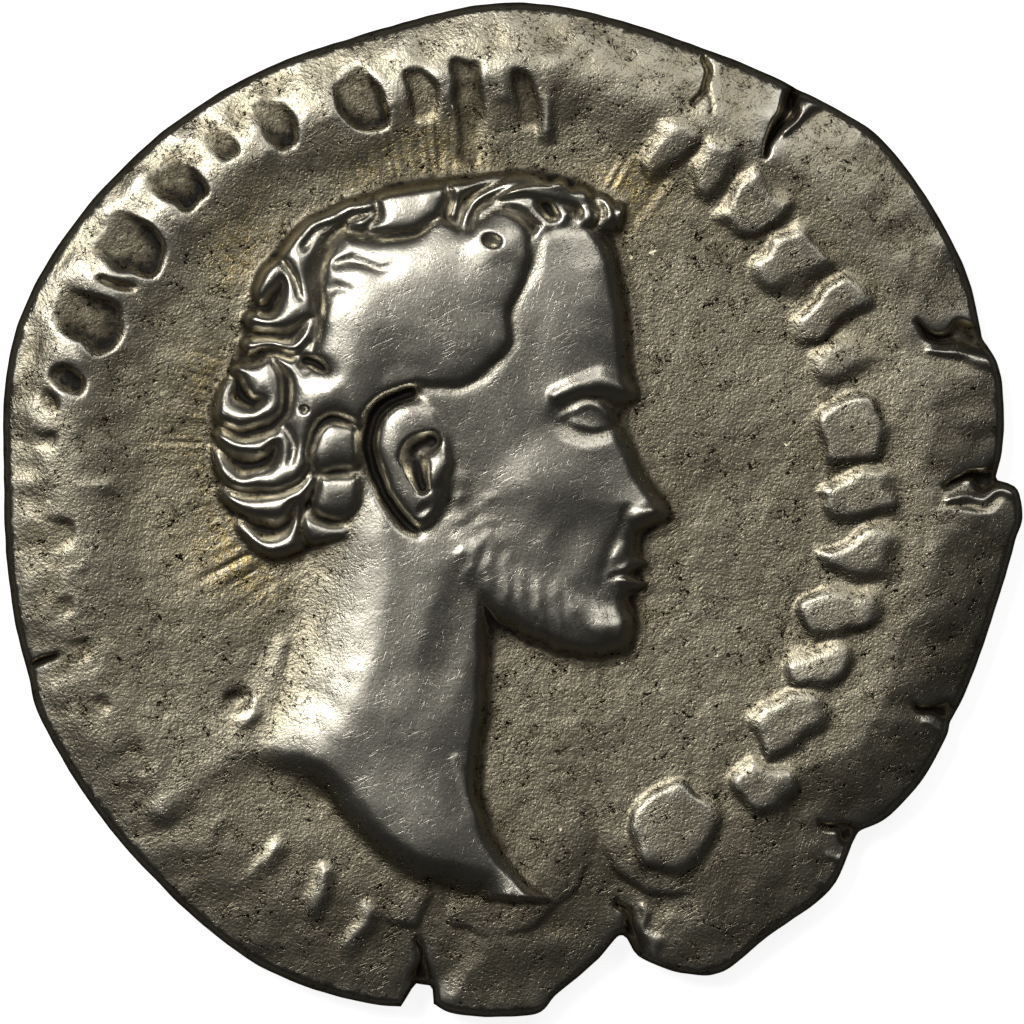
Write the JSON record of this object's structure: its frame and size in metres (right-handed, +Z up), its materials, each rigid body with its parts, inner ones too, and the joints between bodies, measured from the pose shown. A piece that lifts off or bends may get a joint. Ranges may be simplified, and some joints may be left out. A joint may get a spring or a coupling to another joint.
{
  "type": "denarius coin",
  "caption": "Worn silver coin struck with a bare-headed bust facing right and a standing draped figure, with a torn, cracked edge.",
  "frame": {"origin": "middle of the flan, on the surface the coin lies on", "axes": "+Z up out of the obverse, +Y towards the top of the head, +X the way the bust faces"},
  "size_m": [0.0182, 0.018, 0.0019],
  "materials": {
    "silver": "worn old silver, dark in the hollows and polished on the high points"
  },
  "bodies": {
    "root": {"denarius": "silver"}
  },
  "joints": []
}
